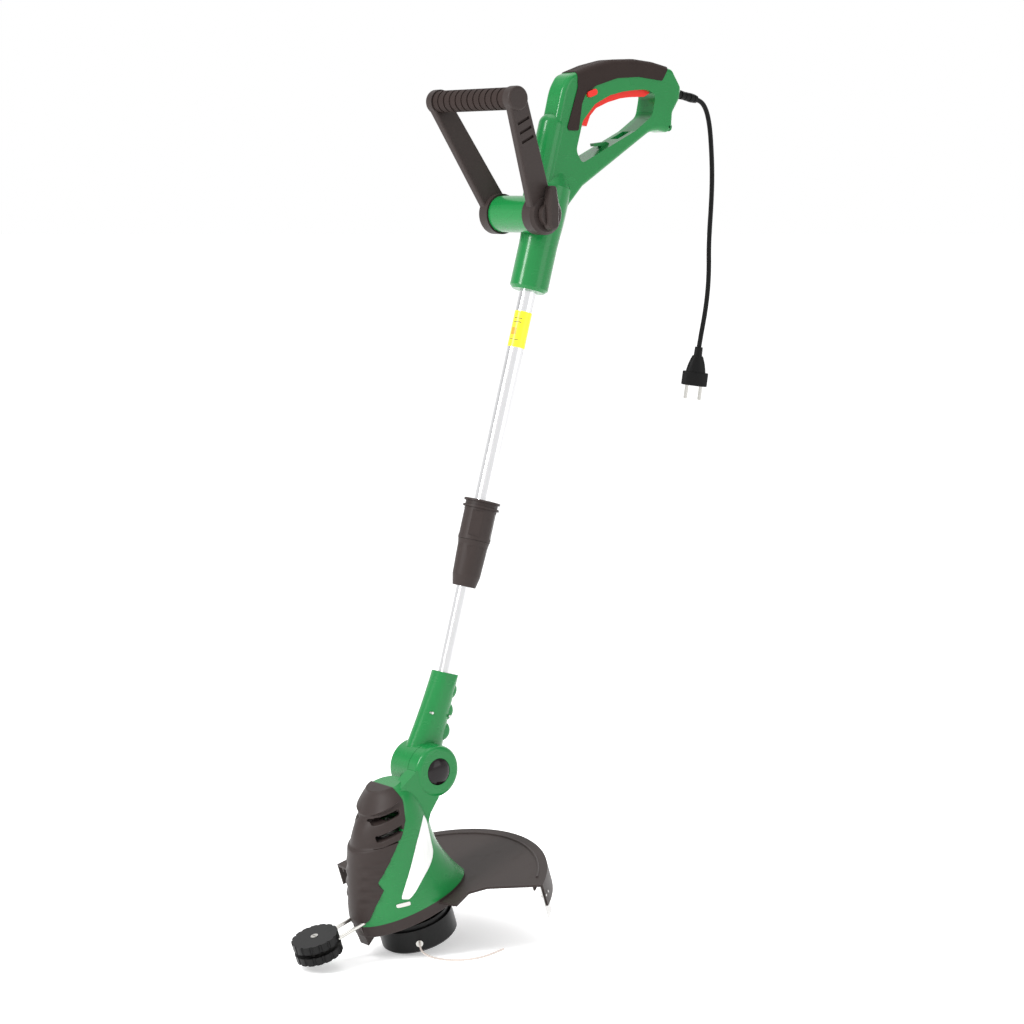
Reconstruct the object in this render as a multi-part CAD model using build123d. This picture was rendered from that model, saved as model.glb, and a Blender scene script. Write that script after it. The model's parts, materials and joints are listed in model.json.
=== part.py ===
from build123d import *
import math
import os

os.makedirs("parts", exist_ok=True)

# String trimmer, in millimetres. +X is the tool's left side, -Y is forwards, where the guide
# wheel is, and +Z is up. The origin is the middle of the rear grip.
# Parts on the shaft are drawn in the shaft's own frame: x across, y rearward, z up the tube,
# with zero where the upper tube enters the handle. Parts of the head are drawn in the head's
# own frame: the same x, y rearward in the cutting plane, z up the motor axis, with zero on
# the tilt pivot.

# Whole tool
SHAFT_LEAN = 15.6          # degrees that the tubes lean back
HEAD_LEAN = 18.0           # degrees that the motor axis leans forward
GRIP_Y = 75.0              # middle of the rear grip, from the tube's axis
GRIP_Z = 315.0             # and along the tube
PIVOT_DROP = 625.6         # handle mouth to tilt pivot, along the tube
FIT = 0.05                 # radial clearance of a pin or bearing seat
CLEAR = 0.3                # clearance between pieces that move past each other
WALL = 2.8                 # moulded casing wall

# Tubes and clamp
UPPER_TUBE_R = 11.0
LOWER_TUBE_R = 9.5
TUBE_WALL = 1.2
UPPER_TUBE_TOP = 96.0      # inside the handle
UPPER_TUBE_END = -322.0    # inside the clamp
LOWER_TUBE_TOP = -196.0    # inside the upper tube
LOWER_TUBE_SEAT = 38.0     # length of the lower tube inside the neck
CLAMP_TOP = -276.6
CLAMP_SPLIT = -328.6
CLAMP_END = -388.9
CLAMP_R = 21.0
CLAMP_RIM_R = 23.5
NUT_R = 19.5
NUT_END_R = 15.0
COLLET_R = 15.2            # outside of the split fingers under the nut

# Rear handle
SOCKET_R = 25.0
SOCKET_TOP_R = 26.6
SOCKET_TOP = 138.0
RIDGE_R = 18.0
RIDGE_Y = -19.0
RIDGE_TOP = 229.0
HANDLE_HALF = 17.0         # half the thickness of the D grip
HANDLE_ROUND = 6.5
OVERMOULD = 1.3            # how far the soft cover stands proud
TRIGGER_HALF = 10.5
TRIGGER_PIN_R = 2.0
EYELET_R = 2.0             # strap hole in the rear lug
EYELET = (160.5, 265.5)
LOCK_BUTTON = (19.0, 268.5)
LOCK_TRAVEL = 2.5
LOCK_OUT = 3.0             # how far the lock-off button stands out
TRIGGER_PIVOT = (115.0, 302.5)
TRIGGER_TRAVEL = 4.5       # degrees
SLOT_HALF = 8.0            # half the width of the extension lead's slot
HANDLE_BOSSES = [(138, 318), (118, 246), (46, 172), (0, 212), (-4, 150)]
BOSS_R = 4.5
SCREW_R = 1.6
SCREW_HEAD_R = 3.2
SCREW_SINK = 2.5           # depth of a screw head's face under the surface

# Outlines of the handle in the side view, as (rearward, up) from the handle's mouth
GRIP_OUTLINE = [(-24, 120), (-27, 262), (-21, 280), (12, 303), (42, 319.5), (78, 331.5),
                (110, 337.5), (146, 340), (167, 322), (169, 306), (162.5, 286), (166, 268),
                (162, 258), (146, 256), (131, 250), (40, 150), (24, 120)]
GRIP_CORNERS = [0, 60, 14, 60, 60, 60, 60, 10, 8, 12, 10, 6, 6, 8, 30, 12, 0]
OPENING = [(15, 230), (15, 190), (29, 178), (104, 243), (127, 270), (125, 300), (107, 300),
           (88, 293.5), (70, 286), (50, 275), (29, 257)]
OPENING_CORNERS = [14, 14, 6, 14, 16, 8, 14, 14, 14, 20, 14]
TRIGGER_TOP = [(124, 304), (118, 311), (106, 310), (86, 305), (64, 297), (42, 284), (24, 266),
               (12, 240)]
TRIGGER_EDGE = [(19, 226), (28, 227), (30, 242), (37, 254), (54, 267), (73, 278), (90, 285),
                (112, 292)]
HOOK = [(60, 201), (65, 211.5), (53, 207.5), (51, 211), (70, 219), (80, 218.5), (77, 214)]
CORD_SLOT = [(79, 221), (103, 243), (127, 221), (103, 199)]
OVERMOULD_OUTLINE = [(-8, 211), (11, 216), (7, 250), (9, 264), (23, 279.5), (55, 299.5),
                     (90, 312), (130, 319), (139, 350), (70, 350), (-14, 300), (-5, 268)]

# Front loop handle
LOOP_Y = -39.5
LOOP_Z = 91.3
BARREL_R = 23.5
BARREL_HALF = 36.0
LOOP_HUB_R = 26.0
LOOP_HUB = 20.0            # thickness of an arm's hub
LOOP_BOLT_R = 4.0
BAR_Y = -145.7
BAR_Z = 209.8
BAR_HALF = 74.0            # inner faces of the arm ends
BAR_CORE_R = 7.0
GRIP_R = 14.0
GRIP_RIBS = 12
ARM_END = 14.0             # thickness of an arm's top end
LOOP_END_R = 15.5
ARM_WIDTH = 33.0
ARM_THICK = 12.0
ARM_SLOT_DEEP = 3.0        # decorative slots in the arms' outer faces
KNOB_R = 15.0
KNOB_WING = [(-5, 36), (5, 36), (9, 10), (8, -20), (-8, -20), (-9, 10)]
KNOB_WING_CORNERS = [5, 5, 30, 8, 8, 30]

# Neck and tilt pivot
PIVOT_R = 33.3
NECK_FAR = -31.0
NECK_NEAR = 9.0
NECK_TOP_R = 17.5
NECK_RISE = 124.2          # tilt pivot to the neck's mouth
NECK_TOP = NECK_RISE - PIVOT_DROP
NECK_WAVES = [(103, 6.5), (76, 9.5), (50, 13)]     # (above the pivot, rearward) of each wave
NECK_WAVE_R = 13.5
NECK_SCREW_Y = 14.0
NECK_SCREW_RISE = 70.6     # above the pivot
EAR_IN = 9.6
EAR_OUT = 31.0
TILT_PIN_R = 6.0
BUTTON_R = 17.0
BUTTON_TRAVEL = 3.0
BUTTON_DEEP = 7.0

# Head
MOTOR_Y = -75.0
BASE_TOP = -147.0
# Outside of the motor housing: (level, half width, front, rear) of each oval section
HOUSING = [(8, 22, -86, -42), (-4, 33, -100, -32), (-20, 39, -118, -25), (-45, 43, -131, -21),
           (-75, 45, -142, -20), (-105, 47, -152, -13), (-125, 49.5, -157, -4),
           (BASE_TOP, 52, -159, 9)]
FRONT = HOUSING[-1][2]
# Parting line between the housing and the front cover in the side view
COVER_EDGE = [(-74, 40), (-67, 12), (-65, -6), (-73, -32), (-90, -50), (-120, -82), (-131, -93),
              (-128, -104), (-142, -121), (-152, -137), (-166, -152), (-210, -160), (-210, 40)]
VENTS = [(-92, -16, 7), (-97, -34, 7), (-104, -48, 2.5)]       # (rearward, level, height)
VENT_LONG = 34.0
VENT_TURN = -9.0
EAR_WAIST = [(-28, 16), (-60, 4), (-72, -20), (-72, -70), (-44, -70), (-27, -46), (-6, -30)]
HOUSING_SCREWS = [(-31, -80), (-46, -28), (-15, -130)]
GUARD_SCREWS = [(34, -32), (-34, -32), (0, -5)]
COVER_PROUD = 1.4          # how far the front cover stands proud of the housing
BASE_DEEP = 18.0
CAN_R = 33.0
CAN_TOP = -44.0
CAN_END = -112.0
SHAFT_R = 4.0
BEARING_R = 11.0
BEARING_DEEP = 7.0
GUARD_R = 182.0
GUARD_THICK = 3.0
GUARD_LEVEL = -150.0       # top face of the guard
GUARD_FROM = 33.0          # degrees, near end of the guard's rim
GUARD_TO = 176.0
SKIRT = 30.0
GUARD_CORNERS = [(0, 0), (79, 17), (68, 46), (81, 66)]    # straight edges, from the motor axis
BLADE = 45.0
SPOOL_R = 49.5
SPOOL_TOP = -168.0
SPOOL_END = -205.0
BUMP_R = 20.0
BUMP_OUT = 7.0
BUMP_TRAVEL = 5.0
BUMP_DEEP = 6.0            # height of the button inside the cap
LINE_LEVEL = -192.0
LINE_R = 1.2
EYE_ANGLE = -34.3          # degrees, direction of the line's eyelet
EYELET_IN = 4.0            # start of the free line inside the cap's wall
# Free end of the line, (x, y) from the motor axis
LINE_ROUTE = [(52, -35.4), (68, -42), (88, -43), (108, -39), (127, -31), (144, -19), (156, -3),
              (161, 16)]

# Guide wheel
WHEEL_Y = -221.0
WHEEL_R = 30.0
WHEEL_TOP = -128.5
WHEEL_END = -154.6
WIRE_R = 2.5
WIRE_HALF = 13.5           # half the width of the wire loop
WHEEL_LOBES = 16
WIRE_LEVEL = (WHEEL_TOP + WHEEL_END) / 2

# Mains cord
CORD_R = 3.25
PLUG_LENGTH = 53.0
PIN_R = 2.4
PIN_LENGTH = 19.0
PIN_SPACING = 19.0
PLUG_TURN = 52.0           # degrees, turn of the plug's wide face about its axis
PLUG_LEAN = 7.2            # degrees, lean of the hanging plug
GLAND_START = (171.0, 315.0)
GLAND_END = (209.0, 318.3)
GLAND_LONG = math.hypot(GLAND_END[0] - GLAND_START[0], GLAND_END[1] - GLAND_START[1])
GLAND_ROOT_R = 7.3
GLAND_ROOT = 15.0          # length of the gland inside the handle
# Route of the hanging cord from the gland to the plug, in the tool's own frame
CORD_ROUTE = [(0, 137.6, -34.8), (0, 144.9, -40.5), (0, 151, -51), (0, 156, -70),
              (0, 158.7, -95), (0, 160.6, -122), (0, 160.8, -150), (0, 159.4, -178),
              (0, 157.2, -206), (0, 156, -234), (0, 156.7, -262), (0, 154.8, -292),
              (0, 149.8, -322), (0, 144, -346)]
PLUG_TOP = (0, 139.7, -366)

SPAN = 400.0               # larger than any cross-section, for cutting blocks


# ---- drawing helpers ----------------------------------------------------------------------
def disc(radius, low, high, x=0, y=0):
    """A round bar along z."""
    return Pos(x, y, (low + high) / 2) * Cylinder(radius, high - low)


def ring(outer, inner, low, high, x=0, y=0):
    """A tube along z."""
    return disc(outer, low, high, x, y) - disc(inner, low - 1, high + 1, x, y)


def bar_x(radius, low, high, y=0, z=0):
    """A round bar along x."""
    return Pos((low + high) / 2, y, z) * Rot(0, 90, 0) * Cylinder(radius, high - low)


def block(x0, x1, y0, y1, z0, z1):
    return Pos((x0 + x1) / 2, (y0 + y1) / 2, (z0 + z1) / 2) * Box(x1 - x0, y1 - y0, z1 - z0)


def side_face(points, radius=0.0):
    """A flat outline in the y-z plane; radius is one value or one for each corner."""
    corners = [(0, y, z) for y, z in points]
    return make_face(FilletPolyline(*corners, radius=radius, close=True))


def side_plate(face, low, high):
    """A face in the y-z plane, made solid from x = low to x = high."""
    return Pos(low, 0, 0) * extrude(face, amount=high - low, dir=(1, 0, 0))


def turned(points):
    """A solid of revolution about z from (radius, z) points."""
    face = make_face(Polyline(*[(r, 0, z) for r, z in points], close=True))
    return revolve(face, Axis.Z)


def left_of(shape, x=0.0):
    return shape & block(x, x + SPAN, -SPAN, SPAN, -2 * SPAN, 2 * SPAN)


def right_of(shape, x=0.0):
    return shape & block(x - SPAN, x, -SPAN, SPAN, -2 * SPAN, 2 * SPAN)


def screw(length):
    """A screw along z with its head's face at zero and its tip downwards."""
    body = disc(SCREW_R, -length, -2) + disc(SCREW_HEAD_R, -2, 0)
    return body - block(-0.7 * SCREW_HEAD_R, 0.7 * SCREW_HEAD_R, -0.5, 0.5, -0.9, 0.1)


def side_screw(face, length, y, z):
    """A screw along x, its head's face at x = face on the right-hand side."""
    return Pos(face, y, z) * Rot(0, -90, 0) * screw(length)


def screw_bore(face, end, y, z):
    """The space for a side screw: a hole to x = end and an open recess for its head."""
    return bar_x(SCREW_R, face, end, y, z) + bar_x(SCREW_HEAD_R + FIT, -SPAN, face + 2, y, z)


def hung_cord(name, route, radius):
    """A round cord along straight runs joined by arcs as large as the runs allow."""
    radii = []
    for before, here, after in zip(route, route[1:], route[2:]):
        arrive = Vector(*here) - Vector(*before)
        leave = Vector(*after) - Vector(*here)
        half_turn = math.radians(arrive.get_angle(leave)) / 2
        radii.append(0.45 * min(arrive.length, leave.length) / math.tan(half_turn))
    path = FilletPolyline(*route, radius=radii)
    cord = sweep(Plane(origin=route[0], z_dir=path % 0) * Circle(radius), path=path)
    print(name, "radii", [round(r) for r in radii], "length", round(path.length, 1),
          "volume ratio", round(cord.volume / (math.pi * radius**2 * path.length), 4))
    return cord


def shaft_place():
    lean = math.radians(SHAFT_LEAN)
    y = GRIP_Z * math.sin(lean) + GRIP_Y * math.cos(lean)
    z = GRIP_Z * math.cos(lean) - GRIP_Y * math.sin(lean)
    return Location((0, -y, -z), (-SHAFT_LEAN, 0, 0))


SHAFT = shaft_place()
PIVOT = (SHAFT * Location((0, 0, -PIVOT_DROP))).position
HEAD = Location((PIVOT.X, PIVOT.Y, PIVOT.Z), (HEAD_LEAN, 0, 0))
pieces = {}


def keep(name, place, shape):
    pieces[name] = place * shape


# ---- rear handle --------------------------------------------------------------------------


def grip_solid(grow):
    """The D grip's outside, with its edges rounded, grown or shrunk by a distance."""
    face = side_face(GRIP_OUTLINE, GRIP_CORNERS)
    if grow:
        face = offset(face, amount=grow)
    half = HANDLE_HALF + grow
    solid = side_plate(face, -half, half)
    rim = [e for e in solid.edges() if abs(abs(e.center().X) - half) < 0.01]
    return fillet(rim, max(HANDLE_ROUND + grow, 1.0))


def socket_profile(inset):
    top = SOCKET_TOP + 24 - inset
    return turned([(0, 0), (SOCKET_R - 4 - inset, 0), (SOCKET_R - inset, 4),
                   (SOCKET_R - inset, 60), (SOCKET_TOP_R - inset, 100),
                   (SOCKET_TOP_R - inset, SOCKET_TOP), (14, top), (0, top)])


def ridge_solid(inset):
    body = disc(RIDGE_R - inset, 100, RIDGE_TOP - inset, 0, RIDGE_Y)
    top = [e for e in body.edges() if e.center().Z > RIDGE_TOP - inset - 1]
    return fillet(top, RIDGE_R - inset - 3)


def trigger_turned(squeeze, grow):
    """The trigger's body squeezed by an angle in degrees, grown by a clearance."""
    face = side_face(TRIGGER_TOP + TRIGGER_EDGE)
    if grow:
        face = offset(face, amount=grow)
    strip = side_plate(face, -TRIGGER_HALF - grow, TRIGGER_HALF + grow)
    y, z = TRIGGER_PIVOT
    return Pos(0, y, z) * Rot(-squeeze, 0, 0) * Pos(0, -y, -z) * strip


def handle_shell():
    hole = side_plate(side_face(OPENING, OPENING_CORNERS), -SPAN, SPAN)
    shell = grip_solid(0) - hole
    shell += socket_profile(0)
    shell += ridge_solid(0)
    shell += bar_x(BARREL_R, -BARREL_HALF, BARREL_HALF, LOOP_Y, LOOP_Z)
    wall_band = side_plate(offset(side_face(OPENING, OPENING_CORNERS), amount=WALL), -SPAN, SPAN)
    hollow = grip_solid(-WALL) - wall_band
    hollow += disc(SOCKET_R - WALL, UPPER_TUBE_TOP + 4, SOCKET_TOP)
    shell -= hollow
    shell -= disc(UPPER_TUBE_R + FIT, -1, UPPER_TUBE_TOP + FIT)
    shell -= bar_x(LOOP_BOLT_R + FIT, -SPAN, SPAN, LOOP_Y, LOOP_Z)
    for step in range(7):
        shell -= trigger_turned(TRIGGER_TRAVEL * step / 6, CLEAR)
    shell -= bar_x(TRIGGER_PIN_R + FIT, WALL - HANDLE_HALF, HANDLE_HALF - WALL, *TRIGGER_PIVOT)
    sleeve = side_plate(offset(side_face(CORD_SLOT), amount=WALL), -SLOT_HALF - WALL, SLOT_HALF + WALL)
    shell += sleeve & (grip_solid(0) - hole)
    shell += side_plate(side_face(HOOK), -4, 4)
    shell -= side_plate(side_face(CORD_SLOT), -SLOT_HALF, SLOT_HALF)
    for y, z in HANDLE_BOSSES:
        shell += bar_x(BOSS_R, WALL - HANDLE_HALF, HANDLE_HALF - WALL, y, z)
        shell -= screw_bore(SCREW_SINK - HANDLE_HALF, HANDLE_HALF - 5, y, z)
    shell += bar_x(BOSS_R + 1.5, WALL - HANDLE_HALF, HANDLE_HALF - WALL, *EYELET)
    shell -= bar_x(EYELET_R, -SPAN, SPAN, *EYELET)
    return shell


def build_handle():
    shell = handle_shell()
    along = math.degrees(math.atan2(GLAND_END[1] - GLAND_START[1], GLAND_END[0] - GLAND_START[0]))
    gland_place = Location((0, *GLAND_START), (along - 90, 0, 0))
    shell -= gland_place * disc(GLAND_ROOT_R + FIT, -GLAND_ROOT - 1, 10)
    keep("handle_left", SHAFT, left_of(shell))
    keep("handle_right", SHAFT, right_of(shell))

    cover = side_plate(side_face(OVERMOULD_OUTLINE, 4), -SPAN / 2, SPAN / 2)
    keep("grip_overmould", SHAFT, (grip_solid(OVERMOULD) - grip_solid(0)) & cover)

    screws = [side_screw(SCREW_SINK - HANDLE_HALF, 20, y, z) for y, z in HANDLE_BOSSES]
    keep("handle_screws", SHAFT, Compound(screws))
    return gland_place


def side_pill(place, radius, spacing, low, high):
    """A bar along x with a rounded oblong section."""
    oblong = Pos((low + high) / 2, 0, 0) * Box(high - low, spacing, 2 * radius)
    for side in (-1, 1):
        oblong += bar_x(radius, low, high, side * spacing / 2)
    return place * oblong


def build_grip_inside(gland_place):
    bore = bar_x(TRIGGER_PIN_R + FIT, -SPAN, SPAN, *TRIGGER_PIVOT)
    keep("trigger", SHAFT, trigger_turned(0, 0) - bore)
    pin = bar_x(TRIGGER_PIN_R, WALL - HANDLE_HALF, HANDLE_HALF - WALL, *TRIGGER_PIVOT)
    keep("trigger_pin", SHAFT, pin)

    y, z = LOCK_BUTTON
    inner = TRIGGER_HALF + CLEAR + LOCK_TRAVEL + 0.5
    link = Pos(0, y, z) * Rot(math.degrees(math.atan2(2.5, 3.5)), 0, 0)
    cap = side_pill(link, 4.0, 8.6, inner, HANDLE_HALF + LOCK_OUT)
    keep("lock_button", SHAFT, cap)
    pocket = SHAFT * side_pill(link, 4.0 + CLEAR, 8.6, TRIGGER_HALF, SPAN / 2)
    pieces["handle_left"] -= pocket
    pieces["grip_overmould"] -= pocket

    slope = Pos(0, 92, 316) * Rot(12, 0, 0)
    body = Box(2 * (HANDLE_HALF - WALL) - 1, 30, 13)
    keep("switch_body", SHAFT, slope * body)


def build_cord(gland_place):
    root = disc(GLAND_ROOT_R, -GLAND_ROOT, 0)
    nose = turned([(0, 0), (6.6, 0), (5.6, 16), (6.2, 30), (5.2, GLAND_LONG), (0, GLAND_LONG)])
    boot = root + nose - disc(CORD_R + FIT, -16, GLAND_LONG + 1)
    for step in range(4):
        boot -= ring(9, 5.2, 7 + 8 * step, 9.5 + 8 * step)
    keep("cord_gland", SHAFT * gland_place, boot)

    end = SHAFT * gland_place * Location((0, 0, GLAND_LONG))
    inside = Pos(0, 0, -8) * Cylinder(CORD_R, 14)
    keep("inner_cable", SHAFT * gland_place, inside)
    route = [tuple(end.position)] + CORD_ROUTE + [PLUG_TOP]
    pieces["mains_cord"] = hung_cord("mains cord", route, CORD_R)
    build_plug(Location(PLUG_TOP) * Rot(0, 0, PLUG_TURN) * Rot(0, PLUG_LEAN, 0))


def build_plug(place):
    """The moulded plug, hanging with its cord end at zero and its pins downwards."""
    neck = turned([(0, 0), (5.4, 0), (5.8, -12), (0, -12)])
    waist = loft([Pos(0, 0, -12) * Ellipse(7.2, 6.4), Pos(0, 0, -24) * Ellipse(11.5, 7.2),
                  Pos(0, 0, -34) * Ellipse(13.5, 7.6)])
    rim = extrude(Pos(0, 0, -PLUG_LENGTH) * Ellipse(17.6, 8.2), amount=PLUG_LENGTH - 34)
    rim = fillet(rim.edges().filter_by(GeomType.ELLIPSE), 1.6)
    keep("plug_body", place, neck + waist + rim)
    pins = []
    for side in (-1, 1):
        pin = disc(PIN_R, -PLUG_LENGTH - PIN_LENGTH, -PLUG_LENGTH, side * PIN_SPACING / 2)
        tip = [e for e in pin.edges() if e.center().Z < -PLUG_LENGTH - PIN_LENGTH + 1]
        pins.append(chamfer(tip, 1.0))
    keep("plug_pins", place, Compound(pins))


# ---- tubes and clamp ----------------------------------------------------------------------
def build_tubes():
    upper = ring(UPPER_TUBE_R, UPPER_TUBE_R - TUBE_WALL, UPPER_TUBE_END, UPPER_TUBE_TOP)
    keep("upper_tube", SHAFT, upper)
    lower_end = NECK_TOP - LOWER_TUBE_SEAT
    lower = ring(LOWER_TUBE_R, LOWER_TUBE_R - TUBE_WALL, lower_end, LOWER_TUBE_TOP)
    keep("lower_tube", SHAFT, lower)
    bore = UPPER_TUBE_R - TUBE_WALL
    bush = disc(bore - FIT, LOWER_TUBE_TOP + 0.3, LOWER_TUBE_TOP + 14)
    bush += disc(LOWER_TUBE_R - TUBE_WALL - FIT, LOWER_TUBE_TOP - 18, LOWER_TUBE_TOP + 1)
    bush -= disc(5, LOWER_TUBE_TOP - 20, LOWER_TUBE_TOP + 20)
    keep("tube_bush", SHAFT, bush)


def build_clamp():
    seat = UPPER_TUBE_END - 2
    body = disc(CLAMP_R, CLAMP_SPLIT, CLAMP_TOP)
    for top in (CLAMP_TOP, CLAMP_TOP - 8):
        body += disc(CLAMP_RIM_R, top - 2.6, top)
    body += disc(COLLET_R, CLAMP_END + 16, CLAMP_SPLIT + 1)
    body -= disc(UPPER_TUBE_R + FIT, UPPER_TUBE_END, CLAMP_TOP + 1)
    body -= disc(LOWER_TUBE_R + FIT, CLAMP_END, seat + 3)
    for turn in range(3):
        slit = block(-0.6, 0.6, 0, SPAN, CLAMP_END, CLAMP_SPLIT - 6)
        body -= Rot(0, 0, 60 + 120 * turn) * slit
    for turn in range(4):
        panel = block(-8, 8, CLAMP_R - 1.2, CLAMP_R + 1, CLAMP_SPLIT + 5, CLAMP_TOP - 14)
        body -= Rot(0, 0, 45 + 90 * turn) * panel
    keep("clamp_body", SHAFT, body)

    top = CLAMP_SPLIT - CLEAR
    nut = turned([(0, top), (NUT_R + 1, top), (NUT_R, top - 6), (NUT_R - 1.5, CLAMP_END + 14),
                  (NUT_END_R, CLAMP_END), (0, CLAMP_END)])
    nut -= disc(COLLET_R + CLEAR, CLAMP_END + 15.5, top + 1)
    nut -= disc(LOWER_TUBE_R + CLEAR, CLAMP_END - 1, top)
    for turn in range(8):
        nut -= Rot(0, 0, 45 * turn) * block(-5, 5, NUT_R - 0.7, NUT_R + 3, CLAMP_END + 16, top - 8)
    keep("clamp_nut", SHAFT, nut)


# ---- front loop handle --------------------------------------------------------------------
def loop_arm(side):
    hub_in = BARREL_HALF + CLEAR
    hub = bar_x(LOOP_HUB_R, hub_in, hub_in + LOOP_HUB, LOOP_Y, LOOP_Z)
    hub = chamfer([e for e in hub.edges() if e.center().X > hub_in + LOOP_HUB - 1], 4)
    end = bar_x(LOOP_END_R, BAR_HALF, BAR_HALF + ARM_END, BAR_Y, BAR_Z)
    end = fillet([e for e in end.edges() if e.center().X > BAR_HALF + ARM_END - 1], 4)
    low = Vector(hub_in + ARM_THICK / 2 + 2, LOOP_Y, LOOP_Z)
    high = Vector(BAR_HALF + ARM_THICK / 2 + 0.5, BAR_Y, BAR_Z)
    along = (high - low).normalized()
    wide = Vector(0, -along.Z, along.Y).normalized()
    foot = Plane(origin=low, x_dir=wide, z_dir=along)
    tip = Plane(origin=high, x_dir=wide, z_dir=along)
    strip = loft([foot * RectangleRounded(ARM_WIDTH + 3, ARM_THICK, 3),
                  tip * RectangleRounded(ARM_WIDTH - 4, ARM_THICK, 3)])
    arm = strip + hub + end
    arm -= bar_x(LOOP_BOLT_R + FIT, 0, SPAN, LOOP_Y, LOOP_Z)
    arm -= bar_x(BAR_CORE_R + FIT, 0, BAR_HALF + ARM_END - 4, BAR_Y, BAR_Z)
    arm -= bar_x(BARREL_R + SPAN, 0, hub_in, LOOP_Y, LOOP_Z)
    arm -= bar_x(GRIP_R + CLEAR, 0, BAR_HALF, BAR_Y, BAR_Z)
    slots = Plane(origin=low + (high - low) * 0.66, x_dir=wide, z_dir=along)
    outward = 1 if slots.y_dir.X > 0 else -1
    for step in range(3):
        depth = outward * (ARM_THICK / 2 - ARM_SLOT_DEEP + SPAN / 8)
        arm -= slots * Pos(0, depth, 13 * step) * Box(ARM_WIDTH - 13, SPAN / 4, 4)
    return arm if side > 0 else mirror(arm, Plane.YZ)


def build_loop():
    left = loop_arm(1)
    nut_face = -(BARREL_HALF + CLEAR + LOOP_HUB)
    nut_place = Pos(nut_face + 3, LOOP_Y, LOOP_Z) * Rot(0, 90, 0)
    keep("loop_arm_left", SHAFT, left)
    hexagon = extrude(RegularPolygon(7.5, 6), amount=3, both=True)
    keep("loop_arm_right", SHAFT, loop_arm(-1) - nut_place * extrude(RegularPolygon(7.5 + FIT, 6),
                                                                  amount=3 + FIT, both=True))
    core = bar_x(BAR_CORE_R, -BAR_HALF - ARM_END + 4 + FIT, BAR_HALF + ARM_END - 4 - FIT,
                 BAR_Y, BAR_Z)
    keep("loop_bar", SHAFT, core)
    sleeve = bar_x(GRIP_R - 1.2, -BAR_HALF, BAR_HALF, BAR_Y, BAR_Z)
    pitch = 2 * BAR_HALF / GRIP_RIBS
    for step in range(GRIP_RIBS):
        low = -BAR_HALF + pitch * step
        sleeve += bar_x(GRIP_R, low + 1.5, low + pitch - 1.5, BAR_Y, BAR_Z)
    keep("loop_grip", SHAFT, sleeve - bar_x(BAR_CORE_R + FIT, -SPAN, SPAN, BAR_Y, BAR_Z))

    nut = nut_place * (hexagon - Cylinder(LOOP_BOLT_R + FIT, 20))
    keep("loop_nut", SHAFT, nut)
    knob_in = BARREL_HALF + CLEAR + LOOP_HUB + CLEAR
    bolt = bar_x(LOOP_BOLT_R, nut_face - 1, knob_in + 10, LOOP_Y, LOOP_Z)
    keep("loop_bolt", SHAFT, bolt)
    lean = math.degrees(math.atan2(LOOP_Y - BAR_Y, BAR_Z - LOOP_Z))
    wing = side_plate(side_face(KNOB_WING, KNOB_WING_CORNERS), knob_in + 3, knob_in + 15)
    wing = chamfer([e for e in wing.edges() if abs(e.center().X - knob_in - 15) < 0.01], 3)
    knob = bar_x(KNOB_R, knob_in, knob_in + 8, LOOP_Y, LOOP_Z)
    knob += Pos(0, LOOP_Y, LOOP_Z) * Rot(lean * 0.4, 0, 0) * wing
    knob -= bar_x(LOOP_BOLT_R + FIT, 0, knob_in + 10 + FIT, LOOP_Y, LOOP_Z)
    keep("wing_knob", SHAFT, knob)


# ---- neck ---------------------------------------------------------------------------------


def build_neck():
    pivot_z = -PIVOT_DROP
    barrel = bar_x(PIVOT_R, NECK_FAR, NECK_NEAR, 0, pivot_z)
    barrel = fillet([e for e in barrel.edges() if e.center().X < NECK_FAR + 1], 4)
    middle = (NECK_FAR + NECK_NEAR) / 2 + 0.5
    stem = loft([Pos(middle, 0, pivot_z + 22) * Ellipse(18.6, 25.5),
                 Pos(middle * 0.5, 0, pivot_z + 72) * Ellipse(17.2, 20.5),
                 Pos(0, 0, NECK_TOP) * Ellipse(NECK_TOP_R, NECK_TOP_R)])
    neck = barrel + (stem & block(-SPAN, NECK_NEAR + 6, -SPAN, SPAN, pivot_z, 0))
    for lift, reach in NECK_WAVES:
        wave = bar_x(NECK_WAVE_R, -NECK_WAVE_R + 1, NECK_WAVE_R - 1, reach, pivot_z + lift)
        wave = fillet(wave.edges().filter_by(GeomType.CIRCLE), 7)
        neck += Pos(middle * (1 - lift / NECK_RISE), 0, 0) * wave
    neck -= disc(LOWER_TUBE_R + FIT, NECK_TOP - LOWER_TUBE_SEAT - FIT, NECK_TOP + 5)
    neck -= disc(6, pivot_z + 20, NECK_TOP)
    neck -= bar_x(TILT_PIN_R + FIT, NECK_FAR + 3, SPAN, 0, pivot_z)
    screw_z = pivot_z + NECK_SCREW_RISE
    for side in (-1, 1):
        neck -= screw_bore(-9, 12, side * NECK_SCREW_Y, screw_z)
    keep("neck_left", SHAFT, left_of(neck))
    keep("neck_right", SHAFT, right_of(neck))
    screws = [side_screw(-9, 20, side * NECK_SCREW_Y, screw_z) for side in (-1, 1)]
    keep("neck_screws", SHAFT, Compound(screws))
    keep("tilt_pin", SHAFT, bar_x(TILT_PIN_R, NECK_FAR + 3, EAR_OUT - 12, 0, pivot_z))


# ---- head ---------------------------------------------------------------------------------


def oval(x_half, y_low, y_high, z):
    return Pos(0, (y_low + y_high) / 2, z) * Ellipse(x_half, (y_high - y_low) / 2)


def housing_solid(grow, low=BASE_TOP):
    """The outside of the motor housing, grown or shrunk by a distance."""
    sections = []
    for z, half, front, rear in HOUSING:
        lift = grow if z == HOUSING[0][0] else 0
        sections.append(oval(half + grow, front - grow, rear + grow, z + lift))
    return loft(sections)


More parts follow.
